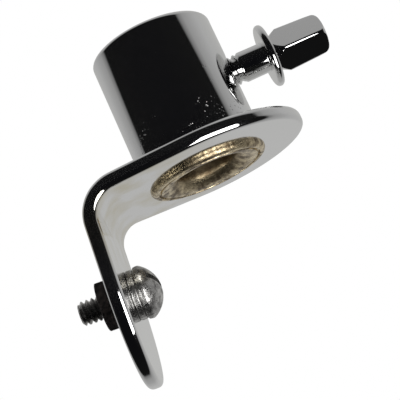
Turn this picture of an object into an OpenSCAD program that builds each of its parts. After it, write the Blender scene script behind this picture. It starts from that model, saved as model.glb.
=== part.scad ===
// Socket bracket: an upright round socket riveted to the flat arm of a bent plate.
// A square-headed clamp screw goes in through the side of the socket to grip the post.
// A slotted screw, washer and hex nut fix the bracket's leg to whatever carries it.
// Sizes are in millimetres. The origin is where the fixing screw's axis meets the
// leg's outer face. +Z runs up the socket's axis and +X runs from the leg to the socket.

/* [Socket] */
// Outside diameter of the socket barrel
barrel_d = 25.4; // [24:0.2:28]
// Height of the barrel above the plate
barrel_h = 26; // [24:0.5:34]
// Diameter of the bore that takes the post
bore_d = 19.3; // [18.6:0.1:20.2]
// Thickness of the floor inside the barrel
barrel_floor_t = 3.4; // [3:0.1:5]
// Radius of the rounded top edge of the barrel
barrel_edge_r = 1; // [0.4:0.1:1.2]

/* [Bracket] */
// Thickness of the plate
plate_t = 2.8; // [2:0.1:3.5]
// Diameter of the round arm under the socket
arm_d = 41.6; // [39:0.2:46]
// Width of the leg
leg_w = 36; // [32:0.2:38]
// Distance from the socket's axis to the leg's outer face at the corner
reach = 24.5; // [23.5:0.1:28]
// Distance from the plate's top down the leg to the fixing hole
hole_drop = 19.4; // [18:0.1:24]
// Angle by which the leg leans outwards from square
leg_lean = 4.5; // [0:0.5:8]
// Inside radius of the bend
bend_r = 5; // [4:0.5:6]

/* [Rivet] */
// Diameter of the rolled rim under the plate
rim_d = 24.4; // [22:0.2:26]
// How far the rim stands below the plate
rim_t = 1.1; // [0.8:0.1:2]
// Outside diameter of the rivet's tube
rivet_d = 16; // [15.4:0.1:16.8]
// Diameter of the hole through the rivet
drain_d = 12.6; // [11:0.1:13]

/* [Clamp screw] */
// Diameter of the clamp screw's thread
clamp_d = 6.35; // [5:0.05:6.5]
// Height of the clamp screw above the plate
clamp_z = 13.5; // [11:0.5:15]
// Distance from the socket's axis to the near face of the collar
collar_x = 19.8; // [19:0.1:24]
// Diameter of the collar
collar_d = 13; // [10:0.2:14]
// Thickness of the collar
collar_t = 1.6; // [1:0.1:2]
// Distance across the corners of the square head at its root
square_d = 9.6; // [8:0.1:10]
// Distance across the corners at its outer end
square_tip_d = 8.4; // [7:0.1:9]
// Angle by which the corner nearest -Y is turned downwards
square_turn = 15; // [0:1:45]
// Distance from the collar to the end of the square head
head_l = 12.7; // [9:0.1:14]

/* [Fixing screw] */
// Diameter of the fixing screw's thread
fix_d = 4.83; // [4:0.05:5.2]
// Length of thread beyond the leg's outer face
fix_out = 7.9; // [7.6:0.1:14]
// Diameter of the slotted head
fix_head_d = 10.6; // [9:0.1:12]
// Height of the slotted head
fix_head_h = 4.4; // [4:0.1:6]
// Width of the screwdriver slot
slot_w = 1.3; // [1:0.1:1.6]
// Depth of the screwdriver slot
slot_depth = 2; // [1.4:0.1:2.4]
// Outside diameter of the washer
washer_d = 10; // [9:0.1:11]
// Thickness of the washer
washer_t = 1.4; // [1:0.1:1.6]
// Width across the flats of the hex nut
nut_af = 9.52; // [8.5:0.01:10]
// Thickness of the hex nut
nut_t = 3.5; // [2.4:0.1:4]

/* [Hidden] */
$fn = 96;
slack = 0.05;
hair = 0.01;
over = 1;
plate_z = hole_drop * cos(leg_lean);
socket_x = reach + hole_drop * sin(leg_lean);
arm_r = arm_d / 2;
leg_r = leg_w / 2;
bend_out = bend_r + plate_t;
bend_z = plate_z - bend_out;
bend_x = (bend_out + bend_z * sin(leg_lean)) / cos(leg_lean);
leg_top = bend_x * sin(leg_lean) + bend_z * cos(leg_lean);
arm_end = socket_x - bend_x + bend_r / 2;
arm_diag = sqrt(arm_end * arm_end + leg_r * leg_r);
arm_turn = atan2(leg_r, arm_end) + acos(arm_r / arm_diag);
square_r = square_d / 2;
square_tip_r = square_tip_d / 2;
lip_t = 0.8;
lip_r = rivet_d / 2 + 0.9;
neck_r = 3.3;
root_l = 2;
tip_l = 1;
screw_tip_x = bore_d / 2 + 0.25;
head_rim_h = 1.2;
dome_rise = fix_head_h - head_rim_h;
dome_r = (fix_head_d * fix_head_d / 4 + dome_rise * dome_rise) / (2 * dome_rise);

module at_socket() {
    translate([socket_x, 0, plate_z]) children();
}

// The leg's own frame: X runs inwards through the plate and Z runs up the leg.
module on_leg() {
    rotate([0, leg_lean, 0]) children();
}

// Lays a shape turned about Z along the X axis.
module along_x() {
    rotate([0, 90, 0]) children();
}

// The arm's plan as an upright block: a full round under the socket, with sides that
// close in to the leg's width at the foot of the bend.
module arm_block() {
    block_h = plate_t + bend_out + over;
    side_r = arm_r * 0.999;
    far_x = arm_end + 2 * plate_t;
    translate([0, 0, -block_h + over]) {
        cylinder(r = arm_r, h = block_h);
        linear_extrude(block_h)
            polygon([
                [-far_x, -leg_r],
                [-arm_end, -leg_r],
                [-side_r * cos(arm_turn), -side_r * sin(arm_turn)],
                [-side_r * cos(arm_turn), side_r * sin(arm_turn)],
                [-arm_end, leg_r],
                [-far_x, leg_r]
            ]);
    }
}

// The sheet is drawn about the bend's axis, with the arm to the right of it and the leg
// below it. This is the arm and the bend, wider than the arm will be. The bend is a hair
// thicker than the flats, as pressing leaves it.
module arm_sheet() {
    strip_w = arm_d + 2 * over;
    translate([0, -strip_w / 2, bend_r]) cube([socket_x + arm_d, strip_w, plate_t]);
    difference() {
        rotate([90, 0, 0]) cylinder(r = bend_out + hair, h = strip_w, center = true);
        rotate([90, 0, 0]) cylinder(r = bend_r - hair, h = strip_w + over, center = true);
        translate([0, -strip_w, -arm_d]) cube([arm_d, 2 * strip_w, 2 * arm_d]);
        on_leg() translate([-arm_d, -strip_w, -arm_d]) cube([2 * arm_d, 2 * strip_w, arm_d]);
    }
}

// The leg has straight sides below the bend and a full round end about its hole.
module leg() {
    on_leg() {
        translate([-bend_out, -leg_r, -leg_top]) cube([plate_t, leg_w, leg_top]);
        intersection() {
            translate([-bend_out, 0, -leg_top]) along_x() cylinder(r = leg_r, h = plate_t);
            translate([-bend_out - over, -leg_w, -leg_top - leg_w])
                cube([plate_t + 2 * over, 2 * leg_w, leg_w]);
        }
    }
}

module bracket_plate() {
    color("silver")
        difference() {
            union() {
                intersection() {
                    translate([bend_x, 0, bend_z]) arm_sheet();
                    at_socket() arm_block();
                }
                translate([bend_x, 0, bend_z]) leg();
            }
            at_socket() translate([0, 0, -plate_t - over])
                cylinder(d = rivet_d, h = plate_t + 2 * over);
            on_leg() translate([-over, 0, 0]) along_x()
                cylinder(d = fix_d + 4 * slack, h = plate_t + 2 * over);
        }
}

// Half of the barrel's section, turned about the socket's axis. Its floor is bored for the
// rivet's tube and sunk to take the rivet's lip flush.
module barrel_section() {
    barrel_r = barrel_d / 2;
    difference() {
        union() {
            square([barrel_r, barrel_h - barrel_edge_r]);
            square([barrel_r - barrel_edge_r, barrel_h]);
            translate([barrel_r - barrel_edge_r, barrel_h - barrel_edge_r])
                circle(r = barrel_edge_r);
        }
        translate([0, barrel_floor_t]) square([bore_d / 2, barrel_h]);
        translate([0, -over]) square([rivet_d / 2, barrel_h]);
        translate([0, barrel_floor_t - lip_t]) square([lip_r, barrel_h]);
    }
}

module socket_barrel() {
    color("lightgray")
        at_socket()
            difference() {
                rotate_extrude() barrel_section();
                translate([0, 0, clamp_z]) along_x()
                    cylinder(d = clamp_d + 2 * slack, h = barrel_d);
            }
}

// Half of the rivet's section: rolled rim below, tube, and flared lip in the socket.
module rivet_section() {
    rim_r = rim_d / 2;
    tube_r = rivet_d / 2;
    drain_r = drain_d / 2;
    foot_z = -plate_t - rim_t;
    difference() {
        union() {
            translate([0, foot_z]) square([rim_r - rim_t, rim_t]);
            intersection() {
                translate([rim_r - rim_t, -plate_t]) circle(r = rim_t);
                translate([0, foot_z]) square([rim_r, rim_t]);
            }
            translate([0, foot_z]) square([tube_r, barrel_floor_t - foot_z]);
            translate([0, barrel_floor_t - lip_t]) square([lip_r, lip_t]);
        }
        translate([0, foot_z - over]) square([drain_r, 2 * over + barrel_h]);
        polygon([
            [0, foot_z - over],
            [rim_r - 1.7, foot_z - over],
            [rim_r - 1.7, foot_z],
            [drain_r + 0.9, foot_z + 0.9],
            [drain_r, foot_z + 2],
            [0, foot_z + 2]
        ]);
    }
}

module drain_rivet() {
    color("goldenrod") at_socket() rotate_extrude() rivet_section();
}

module at_clamp() {
    translate([socket_x, 0, plate_z + clamp_z]) along_x() children();
}

module clamp_screw_shank() {
    point_l = 0.8;
    shank_r = clamp_d / 2;
    color("gray")
        at_clamp()
            rotate_extrude()
                polygon([
                    [0, screw_tip_x],
                    [shank_r - point_l, screw_tip_x],
                    [shank_r, screw_tip_x + point_l],
                    [shank_r, collar_x],
                    [0, collar_x]
                ]);
}

// The turned outline that trims the collar, neck and square head.
module head_section() {
    collar_r = collar_d / 2;
    edge = collar_t / 2;
    end_x = collar_x + head_l;
    difference() {
        union() {
            translate([0, collar_x]) square([collar_r - edge, collar_t]);
            translate([collar_r - edge, collar_x + edge]) circle(r = edge);
            polygon([
                [0, collar_x],
                [neck_r, collar_x],
                [neck_r, collar_x + collar_t],
                [square_r - 0.1, collar_x + collar_t + root_l],
                [square_tip_r - 0.1, end_x - tip_l],
                [square_tip_r - 1.3, end_x],
                [0, end_x]
            ]);
        }
        translate([-2 * edge, collar_x - edge]) square([2 * edge, head_l + collar_t]);
    }
}

module clamp_screw_head() {
    color("dimgray")
        at_clamp()
            intersection() {
                rotate_extrude() head_section();
                union() {
                    cylinder(d = collar_d + over, h = collar_x + collar_t);
                    rotate([0, 0, square_turn]) translate([0, 0, collar_x])
                        cylinder(r1 = square_r, r2 = square_tip_r, h = head_l, $fn = 4);
                }
            }
}

// Half of the fixing screw's section, head upwards.
module fixing_section() {
    seat_x = plate_t + washer_t;
    point_l = 0.6;
    thread_r = fix_d / 2;
    intersection() {
        union() {
            polygon([
                [0, -fix_out],
                [thread_r - point_l, -fix_out],
                [thread_r, -fix_out + point_l],
                [thread_r, seat_x],
                [fix_head_d / 2 - 0.3, seat_x],
                [fix_head_d / 2, seat_x + head_rim_h],
                [0, seat_x + head_rim_h]
            ]);
            translate([0, seat_x + head_rim_h - dome_r + dome_rise])
                intersection() {
                    circle(r = dome_r);
                    translate([-dome_r, dome_r - dome_rise]) square([2 * dome_r, dome_r]);
                }
        }
        translate([0, -fix_out]) square([fix_head_d, fix_out + seat_x + fix_head_h]);
    }
}

module fixing_screw() {
    slot_turn = 55;
    slot_x = plate_t + washer_t + fix_head_h - slot_depth;
    color("darkgray")
        on_leg()
            difference() {
                along_x() rotate_extrude() fixing_section();
                rotate([slot_turn, 0, 0])
                    translate([slot_x, -slot_w / 2, -fix_head_d])
                        cube([slot_depth + over, slot_w, 2 * fix_head_d]);
            }
}

module washer() {
    color("slategray")
        on_leg() translate([plate_t, 0, 0]) along_x()
            difference() {
                cylinder(d = washer_d, h = washer_t);
                translate([0, 0, -over]) cylinder(d = fix_d + 4 * slack, h = washer_t + 2 * over);
            }
}

// The nut's outer corners are turned off at both faces.
module nut_section() {
    corner_r = nut_af / sqrt(3);
    drop = 0.35;
    polygon([
        [0, -nut_t],
        [nut_af / 2, -nut_t],
        [corner_r, -nut_t + drop],
        [corner_r, -drop],
        [nut_af / 2, 0],
        [0, 0]
    ]);
}

module hex_nut() {
    nut_turn = 10;
    color("saddlebrown")
        on_leg() along_x()
            difference() {
                intersection() {
                    translate([0, 0, -nut_t]) rotate([0, 0, nut_turn])
                        cylinder(d = nut_af / cos(30), h = nut_t, $fn = 6);
                    rotate_extrude() nut_section();
                }
                translate([0, 0, -nut_t - over])
                    cylinder(d = fix_d + 2 * slack, h = nut_t + 2 * over);
            }
}

bracket_plate();
socket_barrel();
drain_rivet();
clamp_screw_shank();
clamp_screw_head();
fixing_screw();
washer();
hex_nut();
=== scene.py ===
# %% [markdown]
# # A chromed socket bracket
# The object is a small fitting: an upright round socket on the arm of a bent plate, held by
# a rolled brass rivet, with a square-headed clamp screw in its side and a slotted screw and
# nut in the plate's leg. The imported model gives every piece's place and size. This file
# gives the pieces their finished shapes and finishes, and then a camera and plain lights.

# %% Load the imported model
import math

import bmesh
import bpy
from mathutils import Matrix, Vector


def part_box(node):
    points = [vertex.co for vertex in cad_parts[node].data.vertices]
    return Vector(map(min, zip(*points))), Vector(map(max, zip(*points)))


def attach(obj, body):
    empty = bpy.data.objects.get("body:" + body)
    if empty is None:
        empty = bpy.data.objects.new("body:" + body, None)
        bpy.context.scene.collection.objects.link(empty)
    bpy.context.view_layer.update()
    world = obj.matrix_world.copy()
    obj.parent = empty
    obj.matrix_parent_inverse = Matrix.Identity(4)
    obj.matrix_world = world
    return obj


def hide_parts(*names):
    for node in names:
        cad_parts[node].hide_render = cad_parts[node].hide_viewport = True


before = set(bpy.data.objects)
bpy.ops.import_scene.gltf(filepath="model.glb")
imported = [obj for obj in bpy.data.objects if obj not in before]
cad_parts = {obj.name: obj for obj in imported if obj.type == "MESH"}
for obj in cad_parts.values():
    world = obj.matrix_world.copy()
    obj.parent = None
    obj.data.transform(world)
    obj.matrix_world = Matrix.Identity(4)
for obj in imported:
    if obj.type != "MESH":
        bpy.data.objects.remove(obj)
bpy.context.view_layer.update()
print("packed nodes:", sorted(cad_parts))

# %% [markdown]
# ## Measures
# Every length below is in metres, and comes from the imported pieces' own boxes, so that the
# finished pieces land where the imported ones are. The socket, the rivet and the clamp screw
# share the socket's upright axis or cross it. The fixing screw, washer and nut lie square
# to the leg, which leans out a little, so they share one turned frame.

# %% Read the places of the main axes
MM = 0.001


def lowest(node):
    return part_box(node)[0]


def highest(node):
    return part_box(node)[1]


socket_x = (lowest("socket_barrel")[0] + highest("socket_barrel")[0]) / 2
plate_top = lowest("socket_barrel")[2]
clamp_z = (lowest("clamp_screw_head")[2] + highest("clamp_screw_head")[2]) / 2
LEG_LEAN = math.radians(4.5)
PLATE_T = 2.8 * MM
print("socket axis at x", round(socket_x / MM, 2), "mm; plate top", round(plate_top / MM, 2))

AT_SOCKET = Matrix.Translation((socket_x, 0, plate_top))
AT_CLAMP = Matrix.Translation((socket_x, 0, clamp_z)) @ Matrix.Rotation(math.pi / 2, 4, "Y")
AT_LEG = Matrix.Rotation(LEG_LEAN, 4, "Y") @ Matrix.Rotation(math.pi / 2, 4, "Y")

# %% [markdown]
# ## Tools for making pieces
# Nearly every piece here is turned, so most of them start as half a section that is spun
# about its own axis. A few are then cut or trimmed by another shape, as a drill or a mill
# would do it. Each piece is shaped about its own axis and moved into place as a mesh, so
# that its object stays at the origin.

# %% Arcs, turned shapes and cuts
def arc(centre, radius, start, stop, steps):
    """Points along an arc, with the angles in degrees."""
    points = []
    for step in range(steps + 1):
        angle = math.radians(start + (stop - start) * step / steps)
        points.append((centre[0] + radius * math.cos(angle),
                       centre[1] + radius * math.sin(angle)))
    return points


def turned(section, steps=160):
    """Spins a closed section of (radius, height) points about Z."""
    shape = bmesh.new()
    corners = [shape.verts.new((radius, 0, height)) for radius, height in section]
    sides = [shape.edges.new(pair) for pair in zip(corners, corners[1:] + corners[:1])]
    bmesh.ops.spin(shape, geom=corners + sides, cent=(0, 0, 0), axis=(0, 0, 1),
                   angle=2 * math.pi, steps=steps, use_merge=True)
    bmesh.ops.remove_doubles(shape, verts=shape.verts, dist=0.002 * MM)
    bmesh.ops.dissolve_degenerate(shape, edges=shape.edges, dist=0.001 * MM)
    return shape


def prism(sides, radius, low, high, end_radius=None, turn=0):
    """A bar with flat sides along Z, given by its radius across the corners."""
    shape = bmesh.new()
    bmesh.ops.create_cone(shape, cap_ends=True, segments=sides, radius1=radius,
                          radius2=end_radius or radius, depth=high - low)
    bmesh.ops.translate(shape, verts=shape.verts, vec=(0, 0, (low + high) / 2))
    bmesh.ops.rotate(shape, verts=shape.verts, cent=(0, 0, 0),
                     matrix=Matrix.Rotation(math.radians(turn), 3, "Z"))
    return shape


def carved(blank, tool, how="DIFFERENCE"):
    """Cuts one closed shape by another and gives back the result."""
    pair = []
    for shape in (blank, tool):
        bmesh.ops.recalc_face_normals(shape, faces=shape.faces)
        mesh = bpy.data.meshes.new("stock")
        shape.to_mesh(mesh)
        shape.free()
        pair.append(bpy.data.objects.new("stock", mesh))
        bpy.context.scene.collection.objects.link(pair[-1])
    step = pair[0].modifiers.new("cut", "BOOLEAN")
    step.operation = how
    step.solver = "EXACT"
    step.object = pair[1]
    result = bmesh.new()
    result.from_object(pair[0], bpy.context.evaluated_depsgraph_get())
    for part in pair:
        bpy.data.objects.remove(part)
    bmesh.ops.remove_doubles(result, verts=result.verts, dist=0.001 * MM)
    return result


# %% Threads and finished pieces
def threaded(crest, root, pitch, low, high, steps=72):
    """A right-handed screw thread along Z: a zigzag line spun while it climbs one pitch."""
    shape = bmesh.new()
    points = []
    for turn in range(int((high - low) / pitch) + 4):
        foot = low + (turn - 2) * pitch
        points += [(root, foot), (root, foot + 0.14 * pitch),
                   (crest, foot + 0.48 * pitch), (crest, foot + 0.64 * pitch)]
    corners = [shape.verts.new((radius, 0, height)) for radius, height in points]
    sides = [shape.edges.new(pair) for pair in zip(corners, corners[1:])]
    bmesh.ops.spin(shape, geom=corners + sides, cent=(0, 0, 0), axis=(0, 0, 1),
                   dvec=(0, 0, pitch / steps), angle=2 * math.pi, steps=steps)
    bmesh.ops.remove_doubles(shape, verts=shape.verts, dist=0.004 * MM)
    for height, side in ((low, -1), (high, 1)):
        bmesh.ops.bisect_plane(shape, geom=shape.verts[:] + shape.edges[:] + shape.faces[:],
                               plane_co=(0, 0, height), plane_no=(0, 0, side),
                               clear_outer=True)
    rims = [edge for edge in shape.edges if edge.is_boundary]
    bmesh.ops.holes_fill(shape, edges=rims)
    return shape


def piece(name, shape, place, node, body, paint, sharp=35, flat=False):
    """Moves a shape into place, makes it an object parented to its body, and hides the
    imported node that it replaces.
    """
    bmesh.ops.transform(shape, matrix=place, verts=shape.verts)
    bmesh.ops.recalc_face_normals(shape, faces=shape.faces)
    open_edges = sum(1 for edge in shape.edges if not edge.is_manifold)
    mesh = bpy.data.meshes.new(name)
    shape.to_mesh(mesh)
    shape.free()
    mesh.shade_smooth()
    mesh.set_sharp_from_angle(angle=math.radians(sharp))
    mesh.materials.append(paint)
    made = bpy.data.objects.new(name, mesh)
    bpy.context.scene.collection.objects.link(made)
    if flat:
        made.modifiers.new("keep_flats_flat", "WEIGHTED_NORMAL").keep_sharp = True
    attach(made, body)
    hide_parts(node)
    print(name, len(mesh.polygons), "faces,", open_edges, "open edges")
    return made


# %% [markdown]
# ## Finishes
# Chrome plate is a mirror with faint waviness. Age gives it tiny pits, a little haze and,
# on the plate's underside, a thin cream stain. The rivet is bare brass with patchy brown
# tarnish, and its bore and inner dish are painted darker as shade. The small screw and
# washer have lost most of their plating, and the nut has gone nearly black. All patterns
# follow the object's own coordinates in metres.

# %% Node helpers
def nodes_for(name):
    paint = bpy.data.materials.new(name)
    paint.use_nodes = True
    tree = paint.node_tree
    return paint, tree, tree.nodes["Principled BSDF"]


def noise(tree, size, detail=4.0, rough=0.5):
    """Cloudy noise whose blobs are about size metres across."""
    where = tree.nodes.new("ShaderNodeTexCoord")
    cloud = tree.nodes.new("ShaderNodeTexNoise")
    cloud.inputs["Scale"].default_value = 1 / size
    cloud.inputs["Detail"].default_value = detail
    cloud.inputs["Roughness"].default_value = rough
    tree.links.new(where.outputs["Object"], cloud.inputs["Vector"])
    return cloud.outputs["Fac"]


def spots(tree, size, radius):
    """Round spots in random places, 1 at their middles and 0 outside."""
    where = tree.nodes.new("ShaderNodeTexCoord")
    cells = tree.nodes.new("ShaderNodeTexVoronoi")
    cells.inputs["Scale"].default_value = 1 / size
    tree.links.new(where.outputs["Object"], cells.inputs["Vector"])
    return between(tree, cells.outputs["Distance"], radius, 0.3 * radius)


def between(tree, value, low, high, out_low=0.0, out_high=1.0):
    """Maps a value from one range to another, held at both ends."""
    spread = tree.nodes.new("ShaderNodeMapRange")
    for socket, number in (("From Min", low), ("From Max", high),
                           ("To Min", out_low), ("To Max", out_high)):
        spread.inputs[socket].default_value = number
    tree.links.new(value, spread.inputs["Value"])
    return spread.outputs["Result"]


def times(tree, first, second):
    product = tree.nodes.new("ShaderNodeMath")
    product.operation = "MULTIPLY"
    tree.links.new(first, product.inputs[0])
    tree.links.new(second, product.inputs[1])
    return product.outputs["Value"]


def height_in(tree, axis, low, high):
    """How far along one axis a point lies, from 0 at low to 1 at high, in metres."""
    where = tree.nodes.new("ShaderNodeTexCoord")
    split = tree.nodes.new("ShaderNodeSeparateXYZ")
    tree.links.new(where.outputs["Object"], split.inputs["Vector"])
    return between(tree, split.outputs[axis], low, high)


def off_axis(tree):
    """Distance from the socket's upright axis, in metres."""
    where = tree.nodes.new("ShaderNodeTexCoord")
    centred = tree.nodes.new("ShaderNodeMapping")
    centred.inputs["Location"].default_value = (-socket_x, 0, 0)
    centred.inputs["Scale"].default_value = (1, 1, 0)
    reach = tree.nodes.new("ShaderNodeVectorMath")
    reach.operation = "LENGTH"
    tree.links.new(where.outputs["Object"], centred.inputs["Vector"])
    tree.links.new(centred.outputs["Vector"], reach.inputs[0])
    return reach.outputs["Value"]


def tint(tree, amount, plain, other):
    """A colour that goes from plain to other as amount goes from 0 to 1."""
    ramp = tree.nodes.new("ShaderNodeValToRGB")
    ramp.color_ramp.elements[0].color = (*plain, 1)
    ramp.color_ramp.elements[1].color = (*other, 1)
    tree.links.new(amount, ramp.inputs["Fac"])
    return ramp.outputs["Color"]


def rough_up(tree, shader, height, depth):
    """Gives the surface fine relief, depth metres deep."""
    bump = tree.nodes.new("ShaderNodeBump")
    bump.inputs["Distance"].default_value = depth
    bump.inputs["Strength"].default_value = 1
    tree.links.new(height, bump.inputs["Height"])
    tree.links.new(bump.outputs["Normal"], shader.inputs["Normal"])


# %% Chrome, brass, steel and oxide
CHROME = (0.80, 0.80, 0.795)


def barrel_chrome():
    paint, tree, shader = nodes_for("pitted_chrome")
    low_down = height_in(tree, "Z", plate_top + 15 * MM, plate_top + 2 * MM)
    patches = between(tree, noise(tree, 5 * MM), 0.48, 0.62)
    pits = times(tree, spots(tree, 0.55 * MM, 0.30), times(tree, low_down, patches))
    shader.inputs["Metallic"].default_value = 1
    tree.links.new(tint(tree, pits, CHROME, (0.16, 0.15, 0.14)), shader.inputs["Base Color"])
    tree.links.new(between(tree, pits, 0, 1, 0.055, 0.5), shader.inputs["Roughness"])
    rough_up(tree, shader, between(tree, pits, 1, 0), 0.06 * MM)
    return paint


def plate_chrome():
    paint, tree, shader = nodes_for("stained_chrome")
    under = height_in(tree, "Z", plate_top - PLATE_T + 0.4 * MM, plate_top - PLATE_T)
    cloud = between(tree, noise(tree, 7 * MM, 5), 0.42, 0.66)
    scuffs = between(tree, noise(tree, 0.5 * MM, 6, 0.7), 0.60, 0.75)
    shader.inputs["Metallic"].default_value = 1
    by_bend = times(tree, height_in(tree, "X", socket_x + 6 * MM, socket_x - 12 * MM),
                    height_in(tree, "Z", plate_top - 18 * MM, plate_top - 9 * MM))
    stain = times(tree, times(tree, under, by_bend), cloud)
    tree.links.new(tint(tree, stain, CHROME, (0.66, 0.62, 0.50)), shader.inputs["Base Color"])
    tree.links.new(between(tree, scuffs, 0, 1, 0.08, 0.11), shader.inputs["Roughness"])
    rough_up(tree, shader, noise(tree, 2.5 * MM, 2), 0.010 * MM)
    return paint


def screw_chrome():
    paint, tree, shader = nodes_for("bright_chrome")
    haze = between(tree, noise(tree, 2 * MM, 5, 0.6), 0.5, 0.75)
    shader.inputs["Metallic"].default_value = 1
    shader.inputs["Base Color"].default_value = (*CHROME, 1)
    tree.links.new(between(tree, haze, 0, 1, 0.045, 0.09), shader.inputs["Roughness"])
    rough_up(tree, shader, noise(tree, 1.5 * MM, 2), 0.008 * MM)
    return paint


def brass_tarnish_and_bore_shade():
    paint, tree, shader = nodes_for("brass_tarnish_and_bore_shade")
    cloud = between(tree, noise(tree, 1.8 * MM, 7, 0.66), 0.40, 0.60)
    # Painted shade: the brass is darkened towards the axis, in the bore and on the inner dish,
    # standing in for the shade inside the hole.
    painted_bore_shade = between(tree, off_axis(tree), 6.2 * MM, 7.6 * MM, 0.25, 1)
    clean_and_lit = times(tree, cloud, painted_bore_shade)
    shader.inputs["Metallic"].default_value = 1
    # The dark brown end stands both for real tarnish in the noise patches and for painted
    # shade in the bore.
    tree.links.new(tint(tree, clean_and_lit, (0.15, 0.11, 0.065), (0.78, 0.65, 0.42)),
                   shader.inputs["Base Color"])
    tree.links.new(between(tree, clean_and_lit, 0, 1, 0.40, 0.20), shader.inputs["Roughness"])
    rough_up(tree, shader, noise(tree, 0.3 * MM, 6, 0.7), 0.06 * MM)
    return paint


def worn_steel():
    paint, tree, shader = nodes_for("worn_steel")
    cloud = between(tree, noise(tree, 1.2 * MM, 6, 0.65), 0.36, 0.64)
    shader.inputs["Metallic"].default_value = 1
    tree.links.new(tint(tree, cloud, (0.17, 0.165, 0.16), (0.68, 0.67, 0.65)),
                   shader.inputs["Base Color"])
    tree.links.new(between(tree, cloud, 0, 1, 0.38, 0.17), shader.inputs["Roughness"])
    rough_up(tree, shader, noise(tree, 0.3 * MM, 6, 0.7), 0.05 * MM)
    return paint


def dark_oxide():
    paint, tree, shader = nodes_for("dark_oxide")
    cloud = between(tree, noise(tree, 0.8 * MM, 6, 0.7), 0.40, 0.66)
    shader.inputs["Metallic"].default_value = 0.4
    tree.links.new(tint(tree, cloud, (0.006, 0.005, 0.005), (0.030, 0.021, 0.018)),
                   shader.inputs["Base Color"])
    tree.links.new(between(tree, cloud, 0, 1, 0.42, 0.62), shader.inputs["Roughness"])
    rough_up(tree, shader, noise(tree, 0.25 * MM, 6, 0.7), 0.05 * MM)
    return paint


CLAMP_CHROME = screw_chrome()
STEEL = worn_steel()
print("materials:", [paint.name for paint in bpy.data.materials])

# %% [markdown]
# ## The bent plate
# The bracket is cut flat from thick sheet: a round pad for the socket, sides that close in
# to the leg's width, and a round end. Its rims are polished round before plating. Then it
# is pressed over a former, so the blank here is bent the same way, each point keeping its
# distance from the sheet's middle layer.

# %% Sizes of the blank
BEND_R = 5 * MM
LEG_R = 18 * MM
RIM_R = 1.0 * MM
BEND_TURN = math.pi / 2 - LEG_LEAN
arm_r = highest("bracket_plate")[1]
bend_z = plate_top - PLATE_T - BEND_R
bend_x = (PLATE_T + BEND_R + bend_z * math.sin(LEG_LEAN)) / math.cos(LEG_LEAN)
leg_drop = bend_x * math.sin(LEG_LEAN) + bend_z * math.cos(LEG_LEAN)
bend_run = (BEND_R + PLATE_T / 2) * BEND_TURN
print("bend uses", round(bend_run / MM, 2), "mm of the blank")


# %% Cut and bend the plate
def blank_outline():
    """The flat outline, measured from the start of the bend: arm ahead, leg behind."""
    pad = socket_x - bend_x
    shoulder = -0.5 * BEND_R
    reach = math.hypot(pad - shoulder, LEG_R)
    touch = 180 - math.degrees(math.atan2(LEG_R, pad - shoulder)
                               + math.acos(arm_r / reach))
    foot = -bend_run - leg_drop
    return (arc((pad, 0), arm_r, -touch, touch, 150)
            + [(shoulder, LEG_R)]
            + arc((foot, 0), LEG_R, 90, 270, 80)
            + [(shoulder, -LEG_R)])


def bent(point):
    """Where a point of the flat blank ends up once the sheet is pressed."""
    radius = BEND_R + point.z
    turn = min(max(-point.x, 0) / bend_run, 1) * BEND_TURN
    past = max(-point.x - bend_run, 0) if point.x < 0 else -point.x
    return Vector((bend_x - radius * math.sin(turn) - past * math.cos(turn), point.y,
                   bend_z + radius * math.cos(turn) - past * math.sin(turn)))


def plate():
    shape = bmesh.new()
    outline = [shape.verts.new((x, y, 0)) for x, y in blank_outline()]
    face = shape.faces.new(outline)
    grown = bmesh.ops.extrude_face_region(shape, geom=[face])["geom"]
    bmesh.ops.translate(shape, vec=(0, 0, PLATE_T),
                        verts=[v for v in grown if isinstance(v, bmesh.types.BMVert)])
    if not any(f.calc_center_median().z < 1e-6 for f in shape.faces):
        shape.faces.new(reversed([v for v in shape.verts if v.co.z < 1e-6]))
    bmesh.ops.recalc_face_normals(shape, faces=shape.faces)
    rims = [edge for edge in shape.edges
            if abs(edge.verts[0].co.z - edge.verts[1].co.z) < 1e-7]
    bmesh.ops.bevel(shape, geom=rims, offset=RIM_R, segments=6, profile=0.5,
                    affect="EDGES", material=-1)
    for cut in range(21):
        bmesh.ops.bisect_plane(shape, plane_co=(-bend_run * cut / 20, 0, 0),
                               geom=shape.verts[:] + shape.edges[:] + shape.faces[:],
                               plane_no=(1, 0, 0))
    for point in shape.verts:
        point.co = bent(point.co)
    return shape


rivet_hole = prism(96, 8 * MM, -2 * PLATE_T, PLATE_T)
bmesh.ops.transform(rivet_hole, matrix=AT_SOCKET, verts=rivet_hole.verts)
screw_hole = prism(48, 2.5 * MM, -PLATE_T, 2 * PLATE_T)
bmesh.ops.transform(screw_hole, matrix=AT_LEG, verts=screw_hole.verts)
bracket = carved(carved(plate(), rivet_hole), screw_hole)
piece("pressed_plate", bracket, Matrix(), "bracket_plate", "bracket",
      plate_chrome(), sharp=50, flat=True)

# %% [markdown]
# ## The socket
# The barrel is turned from bar: a rounded top edge, a bore for the post that stops at a
# floor, and a counterbored hole in the floor for the rivet. The clamp screw's hole is
# drilled through the wall and has its edge broken with a countersink.

# %% Turn the barrel and drill it
barrel_r = (highest("socket_barrel")[1] - lowest("socket_barrel")[1]) / 2
barrel_h = highest("socket_barrel")[2] - plate_top
BORE_R = 9.65 * MM
FLOOR_T = 3.4 * MM
TUBE_R = 8 * MM
LIP_R = 8.9 * MM
LIP_T = 0.8 * MM


def barrel():
    top, foot, mouth = 1.0 * MM, 0.3 * MM, 0.5 * MM
    section = ([(TUBE_R, 0)]
               + arc((barrel_r - foot, foot), foot, -90, 0, 4)
               + arc((barrel_r - top, barrel_h - top), top, 0, 90, 10)
               + arc((BORE_R + mouth, barrel_h - mouth), mouth, 90, 180, 6)
               + [(BORE_R, FLOOR_T), (LIP_R, FLOOR_T),
                  (LIP_R, FLOOR_T - LIP_T), (TUBE_R, FLOOR_T - LIP_T)])
    return turned(section, 224)


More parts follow.
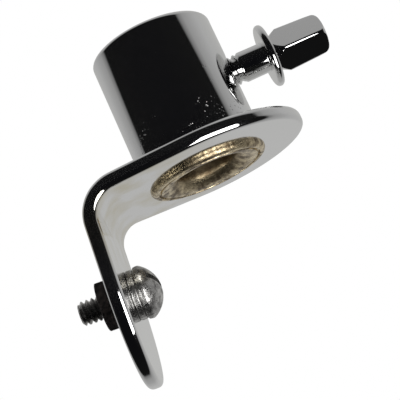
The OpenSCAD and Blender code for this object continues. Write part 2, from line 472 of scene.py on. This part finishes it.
def side_drill():
    hole, sink, inside = 3.22 * MM, 0.7 * MM, 4 * MM
    section = [(0, inside), (hole, inside), (hole, barrel_r - sink),
               (hole + 2 * sink, barrel_r + sink), (0, barrel_r + sink)]
    drill = turned(section, 72)
    across = Matrix.Translation((0, 0, clamp_z - plate_top)) @ Matrix.Rotation(
        math.pi / 2, 4, "Y")
    bmesh.ops.transform(drill, matrix=across, verts=drill.verts)
    return drill


piece("barrel", carved(barrel(), side_drill()), AT_SOCKET, "socket_barrel", "bracket",
      barrel_chrome())

# %% [markdown]
# ## The rivet
# A brass tube holds the socket down. Its lower end is rolled outwards into a broad rim
# with a thin groove near the edge, and its mouth is dished where the rolling tool pressed.
# Inside the socket its other end is flared into a lip that lies flush with the floor.

# %% Spin the rivet
rim_r = (highest("drain_rivet")[1] - lowest("drain_rivet")[1]) / 2
RIM_T = 1.1 * MM
DRAIN_R = 6.3 * MM


def rivet():
    under = -PLATE_T
    foot = under - RIM_T
    section = ([(TUBE_R, FLOOR_T - LIP_T), (TUBE_R, under), (rim_r - RIM_T, under)]
               + arc((rim_r - RIM_T, under), RIM_T, 0, -80, 10)
               + [(rim_r - 1.35 * MM, foot + 0.04 * MM), (rim_r - 1.48 * MM, foot + 0.42 * MM),
                  (rim_r - 1.78 * MM, foot + 0.42 * MM), (rim_r - 1.92 * MM, foot + 0.05 * MM),
                  (rim_r - 2.3 * MM, foot + 0.08 * MM)]
               + arc((rim_r - 2.3 * MM, foot + 4.4 * MM), 4.32 * MM, -92, -145, 10)
               + [(DRAIN_R, foot + 2.6 * MM), (DRAIN_R, FLOOR_T - 0.3 * MM),
                  (DRAIN_R + 0.3 * MM, FLOOR_T), (LIP_R - 0.2 * MM, FLOOR_T),
                  (LIP_R, FLOOR_T - 0.2 * MM), (LIP_R, FLOOR_T - LIP_T)])
    return turned(section, 192)


piece("rolled_rivet", rivet(), AT_SOCKET, "drain_rivet", "bracket",
      brass_tarnish_and_bore_shade(), sharp=60)

# %% [markdown]
# ## The clamp screw
# One steel screw, here in two pieces that split at the collar: a shank whose thread ends a
# little outside the barrel, and a head with a collar and a square for a key. The square was
# milled on a turned blank, so its flats start in curved points at the root, and its corners
# and end keep the turned shape.

# %% Turn the shank and roll its thread
collar_r = (highest("clamp_screw_head")[1] - lowest("clamp_screw_head")[1]) / 2
collar_x = lowest("clamp_screw_head")[0] - socket_x
head_end = highest("clamp_screw_head")[0] - socket_x
shank_r = (highest("clamp_screw_shank")[1] - lowest("clamp_screw_shank")[1]) / 2
shank_tip = lowest("clamp_screw_shank")[0] - socket_x
THREAD_END = 14.2 * MM
CLAMP_PITCH = 1.27 * MM


def shank():
    root_r = shank_r - 0.7 * MM
    shape = threaded(shank_r - 0.15 * MM, root_r, CLAMP_PITCH, shank_tip, THREAD_END)
    neck = turned([(0, THREAD_END - 0.5 * MM), (root_r, THREAD_END - 0.5 * MM),
                   (root_r + 0.2 * MM, THREAD_END),
                   (shank_r - 0.05 * MM, THREAD_END + 0.6 * MM),
                   (shank_r - 0.1 * MM, collar_x - 0.3 * MM),
                   (shank_r, collar_x - 0.05 * MM), (shank_r, collar_x), (0, collar_x)], 96)
    return carved(shape, neck, "UNION")


piece("clamp_shank", shank(), AT_CLAMP, "clamp_screw_shank", "clamp_shank",
      CLAMP_CHROME, sharp=40)

# %% Turn the collar and mill the square
COLLAR_T = 1.6 * MM
SQUARE_R = 4.8 * MM
SQUARE_TIP_R = 4.2 * MM
SQUARE_TURN = 15
CORNER_ROUND = 0.45 * MM


def key_square():
    root = collar_x + COLLAR_T
    end_round = 1.3 * MM
    trim = 0.15 * MM
    blank = turned([(0, collar_x + 0.6 * MM), (3.0 * MM, collar_x + 0.6 * MM),
                    (3.3 * MM, root), (SQUARE_R - trim, root + 2.7 * MM)]
                   + arc((SQUARE_TIP_R - trim - end_round, head_end - end_round),
                         end_round, 5, 75, 8)
                   + [(1.5 * MM, head_end), (0, head_end)], 128)
    mill = prism(4, SQUARE_R, collar_x, head_end + MM, SQUARE_TIP_R, SQUARE_TURN)
    corners = [edge for edge in mill.edges
               if abs(edge.verts[0].co.z - edge.verts[1].co.z) > MM]
    bmesh.ops.bevel(mill, geom=corners, offset=CORNER_ROUND, segments=5, profile=0.5,
                    affect="EDGES", material=-1)
    return carved(blank, mill, "INTERSECT")


def screw_head():
    edge = COLLAR_T / 2
    face = collar_x + COLLAR_T
    fillet = 0.25 * MM
    collar = turned([(0, collar_x)]
                    + arc((collar_r - edge, collar_x + edge), edge, -90, 90, 14)
                    + [(3.6 * MM, face), (3.2 * MM, face + fillet), (0, face + fillet)], 160)
    return carved(collar, key_square(), "UNION")


head = piece("square_head", screw_head(), AT_CLAMP, "clamp_screw_head", "clamp_head",
             CLAMP_CHROME, sharp=24)

# %% [markdown]
# ## The fixing screw, washer and nut
# A plain machine screw goes through the leg from inside. Its head is a slotted dome, worn
# at the slot. The washer under it has soft edges. On the outside a hex nut holds it, with
# its corners turned off, and a few turns of thread stand out beyond the nut.

# %% Make the fixing screw
WASHER_T = 1.4 * MM
FIX_R = 2.4 * MM
FIX_PITCH = 1.058 * MM
FIX_OUT = 7.9 * MM
HEAD_R = 5.3 * MM
HEAD_H = 4.4 * MM
HEAD_RIM = 1.2 * MM
SLOT_W = 1.3 * MM
SLOT_DEPTH = 2.0 * MM
SLOT_TURN = 55


def screw_dome():
    seat = PLATE_T + WASHER_T
    rise = HEAD_H - HEAD_RIM
    dome_r = (HEAD_R ** 2 + rise ** 2) / (2 * rise)
    spread = math.degrees(math.asin(HEAD_R / dome_r))
    centre = seat + HEAD_H - dome_r
    section = ([(0, seat), (HEAD_R - 0.45 * MM, seat), (HEAD_R - 0.1 * MM, seat + 0.3 * MM),
                (HEAD_R, seat + HEAD_RIM - 0.2 * MM)]
               + arc((0, centre), dome_r, 90 - spread + 1.5, 90, 20))
    slot = bmesh.new()
    bmesh.ops.create_cube(slot, size=1)
    bmesh.ops.scale(slot, verts=slot.verts, vec=(4 * HEAD_R, SLOT_W, 2 * SLOT_DEPTH))
    bmesh.ops.translate(slot, verts=slot.verts, vec=(0, 0, seat + HEAD_H))
    bmesh.ops.rotate(slot, verts=slot.verts, cent=(0, 0, 0),
                     matrix=Matrix.Rotation(math.radians(SLOT_TURN), 3, "Z"))
    return carved(turned(section, 96), slot)


def fixing_thread():
    thread = threaded(FIX_R, FIX_R - 0.5 * MM, FIX_PITCH, -FIX_OUT - 0.3 * MM, 0.4 * MM)
    trim = turned([(0, -FIX_OUT), (FIX_R - 0.55 * MM, -FIX_OUT),
                   (FIX_R + 0.1 * MM, -FIX_OUT + 0.6 * MM), (FIX_R + 0.1 * MM, 0.3 * MM),
                   (0, 0.3 * MM)], 72)
    return carved(thread, trim, "INTERSECT")


def fixing_screw():
    bar = turned([(0, 0), (FIX_R - 0.05 * MM, 0), (FIX_R - 0.05 * MM, PLATE_T + 2 * MM),
                  (0, PLATE_T + 2 * MM)], 72)
    return carved(carved(screw_dome(), bar, "UNION"), fixing_thread(), "UNION")


screw = piece("slotted_screw", fixing_screw(), AT_LEG, "fixing_screw", "fixing",
              STEEL, sharp=30)

# %% Make the washer and the nut
washer_r = (highest("washer")[1] - lowest("washer")[1]) / 2
NUT_T = 3.5 * MM
NUT_AF = 9.52 * MM
NUT_TURN = 10


def washer():
    soft = 0.35 * MM
    section = (arc((washer_r - soft, PLATE_T + soft), soft, -90, 0, 5)
               + arc((washer_r - soft, PLATE_T + WASHER_T - soft), soft, 0, 90, 5)
               + arc((2.55 * MM + soft, PLATE_T + WASHER_T - soft), soft, 90, 180, 3)
               + arc((2.55 * MM + soft, PLATE_T + soft), soft, 180, 270, 3))
    return turned(section, 96)


def nut():
    corner_r = NUT_AF / math.sqrt(3)
    drop = 0.4 * MM
    chamfer = turned([(0, -NUT_T), (NUT_AF / 2 - 0.1 * MM, -NUT_T),
                      (corner_r + 0.02 * MM, -NUT_T + drop), (corner_r + 0.02 * MM, -drop),
                      (NUT_AF / 2 - 0.1 * MM, 0), (0, 0)], 96)
    bar = prism(6, corner_r, -2 * NUT_T, NUT_T, turn=NUT_TURN)
    bore = prism(64, 2.45 * MM, -2 * NUT_T, NUT_T)
    return carved(carved(bar, chamfer, "INTERSECT"), bore)


piece("flat_washer", washer(), AT_LEG, "washer", "bracket", STEEL, sharp=50)
hex_nut = piece("hex_nut_worn", nut(), AT_LEG, "hex_nut", "nut", dark_oxide(),
                sharp=25)

# %% Soften the cut edges
for worn, width in ((head, 0.10), (screw, 0.10), (hex_nut, 0.16)):
    soften = worn.modifiers.new("worn_edges", "BEVEL")
    soften.width = width * MM
    soften.segments = 2
    soften.limit_method = "ANGLE"
    soften.angle_limit = math.radians(28)
    soften.harden_normals = False

# %% [markdown]
# ## The camera
# The camera looks up at the fitting from in front and a little below, and is rolled over,
# so that the socket leans to the left and the leg hangs to the lower left. It is placed by
# where it looks, from which side, and how far off it stands.

# %% Place the camera
def look(target, azimuth, elevation, roll, distance, lens):
    azimuth, elevation = math.radians(azimuth), math.radians(elevation)
    back = Vector((math.sin(azimuth) * math.cos(elevation),
                   -math.cos(azimuth) * math.cos(elevation), math.sin(elevation)))
    right = Vector((0, 0, 1)).cross(back).normalized()
    up = back.cross(right)
    turn = Matrix((right, up, back)).transposed().to_4x4() @ Matrix.Rotation(
        math.radians(roll), 4, "Z")
    camera = bpy.data.cameras.new("camera")
    camera.lens = lens
    camera.sensor_width = 36
    camera.clip_start = 0.01
    camera.clip_end = 20
    holder = bpy.data.objects.new("camera", camera)
    holder.matrix_world = Matrix.Translation(target + back * distance) @ turn
    bpy.context.scene.collection.objects.link(holder)
    bpy.context.scene.camera = holder
    return holder


middle = Vector((socket_x - 3.9 * MM, 0, plate_top - 7.7 * MM))
camera = look(middle, azimuth=-1.6, elevation=-12.3, roll=-24.5, distance=195 * MM, lens=90)
print("camera at", [round(v, 3) for v in camera.location])

# %% [markdown]
# ## Light
# Chrome has no colour of its own: it shows what stands round it. Here that is a grey sweep
# behind and above, a paler table low behind, and a dark room in front and below. These
# surroundings are painted in the world for reflections only. Everything else sees an even
# white, like a light tent. A small soft box low in front, close to the fitting, draws the
# white streaks on the rounded rims; the two larger lamps show only in matt surfaces.

# %% Paint the surroundings
def facing(tree, way, direction):
    """How nearly a direction faces another, from -1 to 1."""
    facing_it = tree.nodes.new("ShaderNodeVectorMath")
    facing_it.operation = "DOT_PRODUCT"
    facing_it.inputs[1].default_value = Vector(direction).normalized()
    tree.links.new(way, facing_it.inputs[0])
    return facing_it.outputs["Value"]


def world_light():
    world = bpy.data.worlds.new("studio")
    bpy.context.scene.world = world
    world.use_nodes = True
    tree = world.node_tree
    tree.nodes.clear()
    way = tree.nodes.new("ShaderNodeTexCoord").outputs["Generated"]
    ramp = tree.nodes.new("ShaderNodeValToRGB")
    behind = between(tree, facing(tree, way, (0.24, 0.93, 0.42)), -1, 1)
    tree.links.new(behind, ramp.inputs["Fac"])
    steps = ramp.color_ramp.elements
    steps[0].position, steps[0].color = 0.0, (0.004, 0.004, 0.005, 1)
    steps[1].position, steps[1].color = 1.0, (0.50, 0.50, 0.49, 1)
    for place, shade in ((0.50, 0.007), (0.535, 0.20), (0.60, 0.34), (0.80, 0.46)):
        step = steps.new(place)
        step.color = (shade, shade, shade, 1)
    table = between(tree, facing(tree, way, (0.02, 0.96, -0.27)), 0.90, 0.985, 0, 0.04)
    both = tree.nodes.new("ShaderNodeVectorMath")
    both.operation = "ADD"
    tree.links.new(ramp.outputs["Color"], both.inputs[0])
    tree.links.new(table, both.inputs[1])
    painted = tree.nodes.new("ShaderNodeBackground")
    plain = tree.nodes.new("ShaderNodeBackground")
    plain.inputs["Color"].default_value = (1, 1, 1, 1)
    ray = tree.nodes.new("ShaderNodeLightPath")
    either = tree.nodes.new("ShaderNodeMixShader")
    out = tree.nodes.new("ShaderNodeOutputWorld")
    tree.links.new(both.outputs["Vector"], painted.inputs["Color"])
    tree.links.new(ray.outputs["Is Glossy Ray"], either.inputs["Fac"])
    tree.links.new(plain.outputs["Background"], either.inputs[1])
    tree.links.new(painted.outputs["Background"], either.inputs[2])
    tree.links.new(either.outputs["Shader"], out.inputs["Surface"])


world_light()
bpy.context.scene.view_settings.view_transform = "Standard"

# %% Hang the lamps
def lamp(name, place, aim, width, height, power, shines):
    light = bpy.data.lights.new(name, "AREA")
    light.shape = "RECTANGLE"
    light.size = width
    light.size_y = height
    light.energy = power
    holder = bpy.data.objects.new(name, light)
    holder.location = place
    holder.rotation_euler = (Vector(aim) - Vector(place)).to_track_quat("-Z", "Y").to_euler()
    holder.visible_camera = False
    holder.visible_glossy = shines
    bpy.context.scene.collection.objects.link(holder)
    return holder


lamp("front_lamp", (0.05, -0.45, 0.42), middle, width=0.10, height=0.10, power=0.4,
     shines=False)
lamp("back_lamp", (0.0, 0.40, 0.36), middle, width=0.30, height=0.30, power=0.6,
     shines=False)
near_rim = Vector((socket_x + 10 * MM, -20 * MM, plate_top))
low_in_front = Vector((15 * MM, -42 * MM, -46 * MM))
lamp("soft_box", near_rim + low_in_front, near_rim, width=0.058, height=0.070,
     power=0.058, shines=True)

# %% Lay the floor
def floor():
    plan = bmesh.new()
    bmesh.ops.create_grid(plan, x_segments=1, y_segments=1, size=1)
    bmesh.ops.translate(plan, verts=plan.verts, vec=(0, 0, -0.11))
    mesh = bpy.data.meshes.new("floor")
    plan.to_mesh(mesh)
    sheet = bpy.data.objects.new("floor", mesh)
    paint = bpy.data.materials.new("pale_floor")
    paint.use_nodes = True
    shader = paint.node_tree.nodes["Principled BSDF"]
    shader.inputs["Base Color"].default_value = (0.95, 0.95, 0.95, 1)
    shader.inputs["Roughness"].default_value = 0.9
    mesh.materials.append(paint)
    bpy.context.scene.collection.objects.link(sheet)
    sheet.visible_glossy = False


floor()
